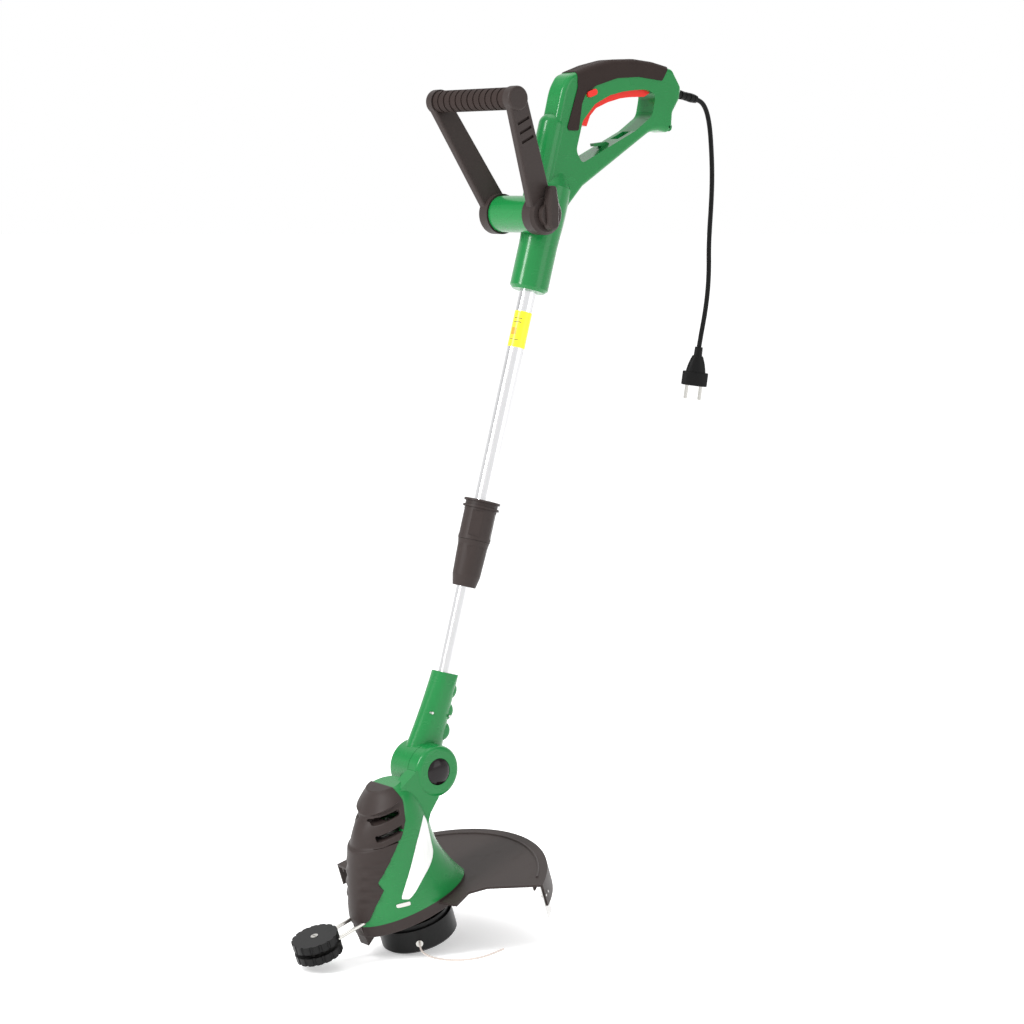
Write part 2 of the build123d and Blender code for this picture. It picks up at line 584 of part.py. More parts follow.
def motor_room():
    """The hollow of the motor housing: one straight step for each station of its outside."""
    room = base_oval(-WALL, BASE_TOP - 1, BASE_TOP + 1)
    for upper, lower in zip(HOUSING[2:], HOUSING[3:]):
        z, half, front, rear = upper
        step = oval(half - WALL, front + WALL, rear - WALL, lower[0] - 1)
        room += extrude(step, amount=z - lower[0] + 1)
    return room - bar_x(PIVOT_R + 1 + WALL, -SPAN, SPAN)


def base_oval(grow, low, high):
    half, front, rear = HOUSING[-1][1:]
    return extrude(oval(half + grow, front - grow, rear + grow, low), amount=high - low)


def build_housing():
    ear = bar_x(PIVOT_R, EAR_IN, EAR_OUT)
    ear = fillet([e for e in ear.edges() if e.center().X > EAR_OUT - 1], 7)
    ear += side_plate(side_face(EAR_WAIST, 6), EAR_IN, EAR_OUT - 2)
    hollow = motor_room()
    saddle = bar_x(PIVOT_R + 1, -SPAN, EAR_IN)
    region = side_plate(side_face(COVER_EDGE), -SPAN, SPAN)
    outside = housing_solid(0)
    shell = outside + ear - region - saddle - hollow
    for y, z in HOUSING_SCREWS:
        shell += bar_x(BOSS_R - 0.5, -40, 40, y, z) & outside
        shell -= screw_bore(-20, 12, y, z)
    shell -= bar_x(TILT_PIN_R + FIT, 0, SPAN)
    shell -= bar_x(BUTTON_R + CLEAR, EAR_OUT - 15, SPAN)
    wires = [Pos(side * WIRE_HALF, FRONT, WIRE_LEVEL) * Rot(90, 0, 0) * Cylinder(WIRE_R + CLEAR, 70)
             for side in (-1, 1)]
    cover = (housing_solid(COVER_PROUD) & region) - hollow - saddle
    for wire in wires:
        cover -= wire
        shell -= wire
    for y, z, height in VENTS:
        for side in (-1, 1):
            cover -= Pos(34 * side, y, z) * Rot(VENT_TURN, 0, 0) * Box(52, VENT_LONG, height)
    keep("housing_left", HEAD, left_of(shell))
    keep("housing_right", HEAD, right_of(shell))
    keep("motor_cover", HEAD, cover)
    screws = [side_screw(-20, 30, y, z) for y, z in HOUSING_SCREWS]
    keep("housing_screws", HEAD, Compound(screws))

    floor = BASE_TOP - BASE_DEEP + 2
    base = base_oval(0, floor, BASE_TOP)
    base = fillet([e for e in base.edges() if e.center().Z < floor + 1], 3)
    toe = [(FRONT, BASE_TOP - 1), (FRONT + 3, BASE_TOP - 28), (FRONT + 24, floor),
           (FRONT + 24, BASE_TOP - 1)]
    base += side_plate(side_face(toe), -9, 9)
    base -= base_oval(-WALL, floor + WALL, BASE_TOP + 1)
    base += ring(CAN_R + 3, CAN_R - 3, floor, CAN_END, 0, MOTOR_Y)
    base += ring(CAN_R + 3, CAN_R + FIT, CAN_END - 1, CAN_END + 16, 0, MOTOR_Y)
    for side in (-1, 1):
        base += block(side * WIRE_HALF - 5, side * WIRE_HALF + 5, FRONT + 14, FRONT + 47, floor,
                      WIRE_LEVEL + 5)
        base -= Pos(side * WIRE_HALF, FRONT + 11, WIRE_LEVEL) * Rot(90, 0, 0) * Cylinder(WIRE_R + FIT, 56)
    base -= disc(SHAFT_R + 2, floor - 1, floor + WALL + 1, 0, MOTOR_Y)
    for x, y in GUARD_SCREWS:
        base += disc(5, floor, BASE_TOP, x, y)
        base -= disc(1.6, floor - 1, floor + 14, x, y)
    keep("head_base", HEAD, base)
    return floor


def build_guard(floor):
    centre = Pos(0, MOTOR_Y, 0)
    edge = [(math.cos(math.radians(a)) * 1.4 * GUARD_R, math.sin(math.radians(a)) * 1.4 * GUARD_R)
            for a in (GUARD_FROM, 70, 125, GUARD_TO)]
    outline = Polyline(*(GUARD_CORNERS + edge), close=True)
    sector = centre * extrude(make_face(outline), amount=-SPAN)
    plate = centre * disc(GUARD_R, GUARD_LEVEL - GUARD_THICK, GUARD_LEVEL)
    plate += centre * ring(GUARD_R, GUARD_R - 2.5, GUARD_LEVEL - SKIRT, GUARD_LEVEL)
    plate += centre * ring(GUARD_R - 12, GUARD_R - 14.5, GUARD_LEVEL - 8, GUARD_LEVEL)
    guard = plate & sector
    guard -= base_oval(FIT, -SPAN, SPAN)
    rim = base_oval(3, floor - 3, GUARD_LEVEL) - base_oval(FIT, floor, 0)
    rim -= base_oval(-12, -SPAN, SPAN) + block(-SPAN, SPAN, -SPAN, -46, -SPAN, SPAN)
    guard += rim
    for x, y in GUARD_SCREWS:
        guard -= disc(2.0, -SPAN, SPAN, x, y)
    keep("guard", HEAD, guard)
    screws = [Pos(x, y, floor - 5) * Rot(180, 0, 0) * screw(14) for x, y in GUARD_SCREWS]
    keep("guard_screws", HEAD, Compound(screws))

    at_edge = centre * Rot(0, 0, GUARD_FROM + 4)
    outside = GUARD_R - 2.5 - 0.3
    low = GUARD_LEVEL - BLADE
    blade = block(outside - 1.2, outside, -9, 9, low, GUARD_LEVEL - GUARD_THICK - 0.5)
    holes = [Pos(outside, side, GUARD_LEVEL - 16) * Rot(0, 90, 0) for side in (-5, 5)]
    rivets = [hole * (Cylinder(1.5, 7) + Pos(0, 0, -3) * Cylinder(2.8, 1)) for hole in holes]
    for hole in holes:
        blade -= hole * Cylinder(1.5, 20)
        pieces["guard"] -= HEAD * at_edge * hole * Cylinder(1.5, 20)
    keep("line_cutter", HEAD * at_edge, blade)
    keep("cutter_rivets", HEAD * at_edge, Compound(rivets))


def build_motor(floor):
    place = HEAD * Pos(0, MOTOR_Y, 0)
    can = ring(CAN_R, CAN_R - 2, CAN_END, CAN_TOP)
    can += disc(CAN_R, CAN_TOP - 3, CAN_TOP) + disc(BEARING_R + 3, CAN_TOP - 1, CAN_TOP + BEARING_DEEP)
    can += disc(CAN_R, CAN_END, CAN_END + 3) + disc(BEARING_R + 3, CAN_END - BEARING_DEEP, CAN_END + 1)
    can -= disc(BEARING_R + FIT, CAN_TOP, CAN_TOP + BEARING_DEEP + 1)
    can -= disc(BEARING_R + FIT, CAN_END - BEARING_DEEP - 1, CAN_END)
    can -= disc(SHAFT_R + 1.5, -SPAN, 0)
    keep("motor_can", place, can)
    bearing = ring(BEARING_R, SHAFT_R + FIT, 0, BEARING_DEEP)
    seats = (CAN_TOP, CAN_END - BEARING_DEEP)
    keep("motor_bearings", place, Compound([Pos(0, 0, seat) * bearing for seat in seats]))
    magnets = ring(CAN_R - 2 - FIT, 24, CAN_END + 14, CAN_TOP - 16)
    magnets -= block(-6, 6, -SPAN, SPAN, -SPAN, SPAN)
    keep("field_magnets", place, magnets)
    brushes = [Rot(0, 0, turn) * block(12.3, 30.5, -4, 4, CAN_TOP - 13, CAN_TOP - 6)
               for turn in (0, 180)]
    keep("brush_holders", place, Compound(brushes))

    end = SPOOL_END + BUMP_TRAVEL + 1.5
    keep("motor_shaft", place, disc(SHAFT_R, end, CAN_TOP + BEARING_DEEP - 1))
    core = disc(22.5, CAN_END + 16, CAN_TOP - 18)
    for slot in range(12):
        core -= Rot(0, 0, 30 * slot) * block(19, 24, -1.2, 1.2, -SPAN, 0)
    keep("armature", place, core - disc(SHAFT_R + FIT, -SPAN, 0))
    keep("commutator", place, ring(12, SHAFT_R + FIT, CAN_TOP - 15, CAN_TOP - 4.5))
    fan_low = floor + WALL + 4
    fan = ring(9, SHAFT_R + FIT, fan_low, fan_low + 12) + ring(28, SHAFT_R + FIT, fan_low, fan_low + 2)
    for blade in range(9):
        fan += Rot(0, 0, 40 * blade) * block(8, 27.5, -0.8, 0.8, fan_low, fan_low + 11)
    keep("cooling_fan", place, fan)


def build_spool():
    place = HEAD * Pos(0, MOTOR_Y, 0)
    eye = Rot(0, 0, EYE_ANGLE)
    rim = SPOOL_TOP - 6
    base = disc(SPOOL_R - 3.5, SPOOL_TOP - 3, SPOOL_TOP) + disc(9, SPOOL_TOP - 12, SPOOL_TOP)
    base += ring(SPOOL_R - 3.5, SPOOL_R - 6, rim - 6, SPOOL_TOP)
    base -= disc(SHAFT_R + FIT, -SPAN, 0)
    keep("spool_base", place, base)
    cap = disc(SPOOL_R, SPOOL_END, rim)
    cap = chamfer([e for e in cap.edges() if e.center().Z < SPOOL_END + 1], 3)
    cap -= disc(SPOOL_R - 3.5 + FIT, SPOOL_END + 3, rim + 1)
    cap -= disc(BUMP_R + CLEAR, SPOOL_END - 1, SPOOL_END + 4)
    hole = eye * Pos(SPOOL_R - 2, 0, LINE_LEVEL) * Rot(0, 90, 0)
    cap -= hole * Cylinder(3.5, 12)
    keep("spool_cap", place, cap)
    eyelet = hole * (Cylinder(3.5 - FIT, 4.4) + Pos(0, 0, 2.6) * Cylinder(4.6, 1.0))
    keep("line_eyelet", place, eyelet - hole * Cylinder(LINE_R + FIT, 12))

    low = SPOOL_END + 3 + CLEAR
    high = rim - 7
    bobbin = ring(24, BUMP_R + 1, low, high) + ring(24, SHAFT_R + 1.5, high - 3, high)
    bobbin += ring(43, BUMP_R + 1, low, low + 2) + ring(43, 10, high - 2, high)
    keep("line_bobbin", place, bobbin)
    keep("wound_line", place, ring(39, 24, low + 2, high - 2))
    bump = disc(BUMP_R, SPOOL_END - BUMP_OUT, SPOOL_END + BUMP_DEEP)
    bump = fillet([e for e in bump.edges() if e.center().Z < SPOOL_END - BUMP_OUT + 1], 5)
    bump -= disc(SHAFT_R + 1, SPOOL_END, SPAN)
    keep("bump_button", place, bump)
    keep("bump_spring", place, ring(10, 8.4, SPOOL_END + BUMP_DEEP + BUMP_TRAVEL + 0.5, high - 3))

    start = (eye * Location((SPOOL_R - EYELET_IN, 0, LINE_LEVEL))).position
    route = [tuple(start)] + [(x, y, LINE_LEVEL) for x, y in LINE_ROUTE]
    keep("cutting_line", place, hung_cord("cutting line", route, LINE_R))


def build_tilt_button():
    back = EAR_OUT - BUTTON_DEEP
    button = bar_x(BUTTON_R, back, EAR_OUT + 4)
    button = fillet([e for e in button.edges() if e.center().X > EAR_OUT + 3], 9)
    keep("tilt_button", HEAD, button)
    spring = bar_x(13, EAR_OUT - 15, back - BUTTON_TRAVEL - CLEAR) - bar_x(11.4, -SPAN, SPAN)
    keep("tilt_spring", HEAD, spring)


def build_wheel():
    root = FRONT + 32
    legs = [Pos(side * WIRE_HALF, (WHEEL_Y + root) / 2, WIRE_LEVEL) * Rot(90, 0, 0)
            * Cylinder(WIRE_R, root - WHEEL_Y) for side in (-1, 1)]
    bend = revolve(Pos(WIRE_HALF, 0, 0) * Rot(90, 0, 0) * Circle(WIRE_R), Axis.Z, 180)
    bend = Pos(0, WHEEL_Y, WIRE_LEVEL) * Rot(0, 0, 180) * bend
    keep("wheel_wire", HEAD, legs[0] + legs[1] + bend)

    place = HEAD * Pos(0, WHEEL_Y, 0)
    groove = WIRE_R + CLEAR
    waist = WIRE_HALF - WIRE_R - CLEAR
    halves = (("wheel_upper", WIRE_LEVEL + groove, WHEEL_TOP),
              ("wheel_lower", WHEEL_END, WIRE_LEVEL - groove))
    for name, low, high in halves:
        flange = disc(WHEEL_R, low, high)
        for lobe in range(WHEEL_LOBES):
            notch = disc(2.2, low - 1, high + 1, WHEEL_R + 0.6)
            flange -= Rot(0, 0, 360 / WHEEL_LOBES * lobe) * notch
        if name == "wheel_upper":
            flange += disc(waist, WIRE_LEVEL, low)
        else:
            flange += disc(waist, high, WIRE_LEVEL)
        flange -= disc(2.5, low - 20, high + 20)
        if name == "wheel_upper":
            flange -= disc(5, high - 3, high + 1)
        keep(name, place, flange)
    screw_top = WHEEL_TOP - 3
    bolt = disc(2.5 - FIT, WHEEL_END + 1, screw_top) + disc(4.8, screw_top, WHEEL_TOP + 0.6)
    bolt -= block(-4, 4, -0.6, 0.6, WHEEL_TOP - 0.8, WHEEL_TOP + 2)
    keep("wheel_screw", place, bolt)


gland = build_handle()
build_grip_inside(gland)
build_cord(gland)
build_tubes()
build_clamp()
build_loop()
build_neck()
base_floor = build_housing()
build_guard(base_floor)
build_motor(base_floor)
build_spool()
build_tilt_button()
build_wheel()
for name, shape in pieces.items():
    export_step(shape, f"parts/{name}.step")
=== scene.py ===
import json
import math

import bmesh
import bpy
from bpy.props import FloatProperty, FloatVectorProperty, PointerProperty
from mathutils import Matrix, Vector
from mathutils.bvhtree import BVHTree


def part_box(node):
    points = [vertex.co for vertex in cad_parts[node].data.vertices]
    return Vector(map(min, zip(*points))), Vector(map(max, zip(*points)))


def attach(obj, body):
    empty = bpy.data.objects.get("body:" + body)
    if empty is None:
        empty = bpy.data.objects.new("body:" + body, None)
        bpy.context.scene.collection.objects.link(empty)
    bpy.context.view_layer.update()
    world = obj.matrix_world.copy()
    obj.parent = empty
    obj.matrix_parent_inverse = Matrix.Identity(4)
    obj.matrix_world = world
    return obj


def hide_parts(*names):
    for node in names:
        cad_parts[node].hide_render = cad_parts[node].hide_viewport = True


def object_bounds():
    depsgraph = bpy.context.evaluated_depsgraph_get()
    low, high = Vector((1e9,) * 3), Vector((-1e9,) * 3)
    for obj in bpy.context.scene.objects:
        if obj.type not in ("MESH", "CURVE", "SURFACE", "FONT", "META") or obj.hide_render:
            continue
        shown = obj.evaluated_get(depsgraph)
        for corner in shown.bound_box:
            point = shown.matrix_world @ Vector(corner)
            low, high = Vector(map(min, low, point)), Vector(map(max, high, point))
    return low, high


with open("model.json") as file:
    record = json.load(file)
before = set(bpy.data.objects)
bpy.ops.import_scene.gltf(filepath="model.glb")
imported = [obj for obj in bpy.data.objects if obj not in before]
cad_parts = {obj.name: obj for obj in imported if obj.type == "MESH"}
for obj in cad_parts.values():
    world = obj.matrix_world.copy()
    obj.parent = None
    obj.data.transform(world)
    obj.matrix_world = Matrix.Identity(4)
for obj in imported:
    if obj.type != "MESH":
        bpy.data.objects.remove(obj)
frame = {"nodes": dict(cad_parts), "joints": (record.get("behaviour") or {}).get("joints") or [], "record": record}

bl_info = {
    "name": "Corded grass trimmer",
    "version": (1, 0, 0),
    "blender": (4, 5, 0),
    "location": "3D View > Sidebar > Trimmer",
    "description": "Finishes, labels, cord and line of a corded grass trimmer",
    "category": "Object",
}

MM = 0.001
CAD_BOX = [list(corner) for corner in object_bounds()]

# ---- places taken from the frame ----------------------------------------------------------
JOINTS = {joint["name"]: joint for joint in frame["joints"]}
SIDE = Vector((1, 0, 0))
TUBE_UP = Vector(JOINTS["tube_slide"]["axis"]).normalized()
TUBE_REAR = TUBE_UP.cross(SIDE).normalized()
MOTOR_UP = Vector(JOINTS["rotor_spin"]["axis"]).normalized()
MOTOR_REAR = MOTOR_UP.cross(SIDE).normalized()
TILT_PIN = Vector(JOINTS["head_tilt"]["pos_m"])
PIVOT_DROP = 0.6256        # from the handle's mouth down to the tilt pin
HANDLE_MOUTH = TILT_PIN + PIVOT_DROP * TUBE_UP
MOTOR_BACK = 0.075         # from the tilt pin forward to the motor's axis
FRONT_AXIS = -78           # rearward place, in millimetres, of the housing's middle
FLOOR_LEVEL = CAD_BOX[0][2]


def tube_point(side, rear, up):
    """A point given in millimetres from the handle's mouth, along the tube's own axes."""
    return HANDLE_MOUTH + MM * (side * SIDE + rear * TUBE_REAR + up * TUBE_UP)


def head_point(side, rear, up):
    """A point given in millimetres from the tilt pin, along the motor's own axes."""
    return TILT_PIN + MM * (side * SIDE + rear * MOTOR_REAR + up * MOTOR_UP)


# ---- sizes and colours that a user may change ---------------------------------------------
def length_property(name, description, millimetres):
    return FloatProperty(name=name, description=description, default=millimetres * MM,
                         unit="LENGTH", precision=5)


def colour_property(name, description, colour):
    return FloatVectorProperty(name=name, description=description, default=colour,
                               subtype="COLOR", size=3, min=0, max=1)


class TrimmerColours(bpy.types.PropertyGroup):
    """The colours of the moulded parts and metals."""
    green: colour_property("Green", "Handle, neck and motor housing", (0.008, 0.185, 0.042))
    charcoal: colour_property("Charcoal", "Guard, clamp, cover and loop handle", (0.033, 0.024, 0.022))
    grip: colour_property("Grip", "Soft overmould on the rear handle", (0.027, 0.018, 0.016))
    black: colour_property("Black", "Spool and guide wheel", (0.003, 0.003, 0.003))
    red: colour_property("Red", "Trigger and lock-off button", (0.72, 0.022, 0.012))
    tube: colour_property("Tube", "Bright drawn tubes", (0.78, 0.78, 0.79))
    steel: colour_property("Steel", "Screws, blade and springs", (0.62, 0.61, 0.60))
    label: colour_property("Label", "Label round the upper tube", (0.92, 0.78, 0.02))
    badge: colour_property("Badge", "Plate on the motor housing", (0.86, 0.87, 0.85))
    line: colour_property("Line", "Nylon cutting line", (0.56, 0.49, 0.45))
    cord: colour_property("Cord", "Mains cord, gland and plug", (0.004, 0.004, 0.004))


class TrimmerSizes(bpy.types.PropertyGroup):
    """The sizes of the pieces that are added to the frame."""
    cord_width: length_property("Cord width", "Diameter of the mains cord", 6.5)
    line_width: length_property("Line width", "Diameter of the cutting line", 2.4)
    label_low: length_property("Label foot", "Label's lower edge below the handle", 75)
    label_high: length_property("Label head", "Label's upper edge below the handle", 28)


# ---- shader trees -------------------------------------------------------------------------
class Value:
    """A socket of a shader tree. Arithmetic on it adds Math nodes to the tree."""

    def __init__(self, tree, socket):
        self.tree = tree
        self.socket = socket

    def math(self, operation, first, second):
        node = self.tree.nodes.new("ShaderNodeMath")
        node.operation = operation
        feed(self.tree, node.inputs[0], first)
        feed(self.tree, node.inputs[1], second)
        return Value(self.tree, node.outputs[0])

    def __add__(self, other):
        return self.math("ADD", self, other)

    def __radd__(self, other):
        return self.math("ADD", other, self)

    def __sub__(self, other):
        return self.math("SUBTRACT", self, other)

    def __rsub__(self, other):
        return self.math("SUBTRACT", other, self)

    def __mul__(self, other):
        return self.math("MULTIPLY", self, other)

    def __rmul__(self, other):
        return self.math("MULTIPLY", other, self)

    def __lt__(self, other):
        return self.math("LESS_THAN", self, other)

    def __gt__(self, other):
        return self.math("GREATER_THAN", self, other)


def feed(tree, socket, value):
    """Links a value to a socket, or sets the socket's own number or colour."""
    if isinstance(value, Value):
        tree.links.new(value.socket, socket)
    elif socket.type == "RGBA" and len(value) == 3:
        socket.default_value = (*value, 1)
    else:
        socket.default_value = value


class Finish:
    """A material under construction, with one Principled shader."""

    def __init__(self, name):
        self.material = bpy.data.materials.new(name)
        self.material.use_nodes = True
        self.tree = self.material.node_tree
        self.tree.nodes.clear()

    def add(self, kind, settings=None, inputs=None, output=0):
        """Adds a node of that kind: settings first, then its sockets' values or links."""
        node = self.tree.nodes.new(kind)
        for key, value in (settings or {}).items():
            if key == "stops":
                fill_ramp(node.color_ramp, value)
            else:
                setattr(node, key, value)
        for key, value in (inputs or {}).items():
            feed(self.tree, node.inputs[key], value)
        return Value(self.tree, node.outputs[output]) if node.outputs else None

    def place(self, scale=(1, 1, 1), turn=(0, 0, 0), move=(0, 0, 0)):
        """Object coordinates, scaled and turned."""
        here = self.add("ShaderNodeTexCoord", output="Object")
        return self.add("ShaderNodeMapping", {"vector_type": "POINT"},
                        {"Vector": here, "Location": move, "Rotation": turn, "Scale": scale})

    def noise(self, scale, detail=2.0, roughness=0.5, where=None):
        inputs = {"Scale": scale, "Detail": detail, "Roughness": roughness}
        inputs["Vector"] = where or self.place()
        return self.add("ShaderNodeTexNoise", {"noise_dimensions": "3D"}, inputs)

    def mix(self, factor, first, second):
        """A colour between two colours."""
        node = self.tree.nodes.new("ShaderNodeMix")
        node.data_type = "RGBA"
        node.clamp_factor = True
        colours = [s for s in node.inputs if s.type == "RGBA"]
        feed(self.tree, node.inputs["Factor"], factor)
        feed(self.tree, colours[0], first)
        feed(self.tree, colours[1], second)
        return Value(self.tree, [s for s in node.outputs if s.type == "RGBA"][0])

    def bump(self, height, strength, distance, under=None):
        inputs = {"Height": height, "Strength": strength, "Distance": distance}
        if under is not None:
            inputs["Normal"] = under
        return self.add("ShaderNodeBump", {}, inputs)

    def close(self, **sockets):
        """Adds the shader, with its sockets named in words, and returns the material."""
        shader = self.add("ShaderNodeBsdfPrincipled", {},
                          {key.replace("_", " "): value for key, value in sockets.items()})
        self.add("ShaderNodeOutputMaterial", {}, {"Surface": shader})
        return self.material


def fill_ramp(ramp, stops):
    while len(ramp.elements) < len(stops):
        ramp.elements.new(0.5)
    for element, (where, colour) in zip(ramp.elements, stops):
        element.position = where
        element.color = (*colour, 1)


def shaded(colour, factor):
    return tuple(min(part * factor, 1.0) for part in colour)


def moulded_plastic(name, colour, gloss, grain, coat=0.0, wear=0.25, shine=0.22):
    """Injection-moulded plastic: fine spark-eroded grain, soft flow marks and light scuffs."""
    finish = Finish(name)
    flow = finish.noise(9, 3)
    scuffs = finish.noise(60, 5, 0.62, finish.place((1, 0.35, 1.6)))
    patch = finish.add("ShaderNodeMapRange", {}, {"Value": scuffs, "From Min": 0.56, "From Max": 0.74})
    fine = finish.noise(2600, 1)
    tone = finish.mix(flow, shaded(colour, 0.90), shaded(colour, 1.10))
    tone = finish.mix(patch * wear, tone, shaded(colour, 1.45))
    rough = gloss + patch * 0.10 + (flow - 0.5) * 0.08
    normal = finish.bump(fine, 1.0, grain)
    normal = finish.bump(flow, 0.10, 0.0003, normal)
    return finish.close(Base_Color=tone, Roughness=rough, Normal=normal, Coat_Weight=coat,
                        Coat_Roughness=0.12, Specular_IOR_Level=shine)


def rubber(name, colour, roughness, grain):
    """Soft elastomer: matt, with a fine stipple and dusty patches."""
    finish = Finish(name)
    dust = finish.noise(34, 4, 0.6)
    stipple = finish.add("ShaderNodeTexVoronoi", {"feature": "F1"},
                         {"Vector": finish.place(), "Scale": 900.0}, "Distance")
    tone = finish.mix(dust, shaded(colour, 0.82), shaded(colour, 1.25))
    rough = roughness + (dust - 0.5) * 0.14
    normal = finish.bump(stipple, 0.7, grain)
    return finish.close(Base_Color=tone, Roughness=rough, Normal=normal, Specular_IOR_Level=0.15)


def drawn_metal(name, colour, roughness, along, stretch=0.02):
    """Drawn or brushed metal, with fine lines along one direction."""
    finish = Finish(name)
    turn = Vector((0, 0, 1)).rotation_difference(along).inverted().to_euler()
    lines = finish.noise(1500, 2, 0.6, finish.place((1, 1, stretch), turn))
    smudge = finish.noise(28, 4, 0.6)
    tone = finish.mix(lines, shaded(colour, 0.93), shaded(colour, 1.04))
    rough = roughness + lines * 0.10 + (smudge - 0.5) * 0.10
    normal = finish.bump(lines, 0.35, 0.00002)
    return finish.close(Base_Color=tone, Metallic=1.0, Roughness=rough, Normal=normal)


def plated_metal(name, colour, roughness):
    """Zinc or chrome plate with faint pitting."""
    finish = Finish(name)
    pits = finish.noise(420, 4, 0.7)
    cloud = finish.noise(70, 3)
    tone = finish.mix(cloud, shaded(colour, 0.86), shaded(colour, 1.05))
    rough = roughness + (pits - 0.5) * 0.18
    normal = finish.bump(pits, 0.3, 0.00003)
    return finish.close(Base_Color=tone, Metallic=1.0, Roughness=rough, Normal=normal)


def copper_winding(name):
    """Lacquered copper wire, wound in close turns, with painted shade in the grooves between them."""
    finish = Finish(name)
    turns = finish.add("ShaderNodeTexWave", {"wave_type": "BANDS", "bands_direction": "Z"},
                       {"Vector": finish.place(), "Scale": 420.0, "Distortion": 0.6})
    # painted shade: the colour darkens in the grooves between the turns
    tone = finish.mix(turns, (0.16, 0.05, 0.02), (0.60, 0.24, 0.09))
    normal = finish.bump(turns, 0.8, 0.0002)
    return finish.close(Base_Color=tone, Metallic=0.85, Roughness=0.3 + turns * 0.2, Normal=normal)


def nylon_line(name, colour):
    """Extruded nylon, slightly clear, with lengthwise drag lines."""
    finish = Finish(name)
    drag = finish.noise(700, 3)
    tone = finish.mix(drag, shaded(colour, 0.86), shaded(colour, 1.08))
    normal = finish.bump(drag, 0.4, 0.00006)
    return finish.close(Base_Color=tone, Roughness=0.30 + drag * 0.18, Normal=normal,
                        Subsurface_Weight=0.15, Subsurface_Radius=(0.002, 0.002, 0.002),
                        Subsurface_Scale=1.0)


def band_mask(finish, axis, low, high):
    """One where the object coordinate along an axis, in metres, lies between two values."""
    here = finish.add("ShaderNodeTexCoord", output="Object")
    along = finish.add("ShaderNodeVectorMath", {"operation": "DOT_PRODUCT"},
                       {0: here, 1: tuple(axis)}, "Value")
    return (along > low) * (along < high)


def tube_label(name, colour):
    """Printed foil label: yellow, with plain dark bars and a red panel in place of print."""
    finish = Finish(name)
    foil = finish.noise(46, 3)
    tone = finish.mix(foil, shaded(colour, 0.92), shaded(colour, 1.05))
    mouth = HANDLE_MOUTH.dot(TUBE_UP)
    for low, high in ((-38.5, -37.0), (-43.5, -42.0), (-66.5, -65.0)):
        bar = band_mask(finish, TUBE_UP, mouth + low * MM, mouth + high * MM)
        bar = bar * band_mask(finish, SIDE, -0.002, 0.009)
        tone = finish.mix(bar * 0.8, tone, (0.03, 0.03, 0.03))
    panel = band_mask(finish, TUBE_UP, mouth - 60 * MM, mouth - 50 * MM)
    panel = panel * band_mask(finish, SIDE, -0.003, 0.006)
    tone = finish.mix(panel * 0.75, tone, (0.80, 0.16, 0.02))
    normal = finish.bump(foil, 0.2, 0.0001)
    return finish.close(Base_Color=tone, Roughness=0.26 + foil * 0.12, Normal=normal)


def badge_face(name, colour):
    """Satin printed plate with a faint diagonal brushing."""
    finish = Finish(name)
    brush = finish.noise(260, 3, 0.6, finish.place((1, 1, 0.06), (0.5, 0, 0)))
    tone = finish.mix(brush, shaded(colour, 0.88), shaded(colour, 1.08))
    normal = finish.bump(brush, 0.2, 0.00005)
    return finish.close(Base_Color=tone, Metallic=0.15, Roughness=0.24 + brush * 0.16, Normal=normal)


def studio_paper(name, colour):
    """Matt seamless paper."""
    finish = Finish(name)
    fibre = finish.noise(320, 3)
    tone = finish.mix(fibre, shaded(colour, 0.985), shaded(colour, 1.015))
    normal = finish.bump(fibre, 0.05, 0.0001)
    return finish.close(Base_Color=tone, Roughness=0.8 + fibre * 0.1, Normal=normal,
                        Emission_Color=tone, Emission_Strength=0.42, Specular_IOR_Level=0.0)


def material(name, build, *values):
    """The named material, built the first time that it is asked for."""
    return bpy.data.materials.get(name) or build(name, *values)


def finishes():
    """Every record slot with the material that shows it."""
    c = bpy.context.scene.trimmer_colours
    recipes = {
        "green_plastic": (moulded_plastic, c.green, 0.27, 0.000012, 0.30, 0.03),
        "dark_plastic": (moulded_plastic, c.charcoal, 0.47, 0.00003, 0.0, 0.3),
        "soft_grip": (rubber, c.grip, 0.70, 0.00008),
        "black_plastic": (moulded_plastic, c.black, 0.36, 0.00002, 0.0, 0.6),
        "red_plastic": (moulded_plastic, c.red, 0.30, 0.00001, 0.2, 0.1),
        "bright_tube": (drawn_metal, c.tube, 0.16, TUBE_UP),
        "steel": (plated_metal, c.steel, 0.34),
        "chrome": (plated_metal, (0.60, 0.59, 0.56), 0.16),
        "brass": (plated_metal, (0.72, 0.52, 0.20), 0.28),
        "copper_winding": (copper_winding,),
        "button_dark": (moulded_plastic, (0.006, 0.003, 0.004), 0.15, 0.000002, 0.15, 0.05),
        "cord_rubber": (rubber, c.cord, 0.46, 0.00002),
        "line_nylon": (nylon_line, c.line),
        "magnet": (plated_metal, (0.10, 0.10, 0.11), 0.6),
    }
    return {slot: material(slot + "_finish", *recipe) for slot, recipe in recipes.items()}


# ---- mesh helpers -------------------------------------------------------------------------
def new_object(name, mesh, finish, body, slot_name, *replaced):
    """Links a finished mesh as a piece that rides on a body."""
    piece = bpy.data.objects.new(name, mesh)
    bpy.context.scene.collection.objects.link(piece)
    piece.data.materials.append(finish)
    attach(piece, body)
    if replaced:
        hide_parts(*replaced)
    return piece


def spline_piece(name, points, width, finish, body, slot_name, *replaced):
    """A round cord on one smooth spline through control points in metres."""
    curve = bpy.data.curves.new(name, "CURVE")
    curve.dimensions = "3D"
    curve.resolution_u = 14
    curve.bevel_depth = width / 2
    curve.bevel_resolution = 5
    curve.use_fill_caps = True
    spline = curve.splines.new("NURBS")
    spline.points.add(len(points) - 1)
    for point, place in zip(spline.points, points):
        point.co = (*place, 1)
    spline.order_u = 3
    spline.use_endpoint_u = True
    return new_object(name, curve, finish, body, slot_name, *replaced)


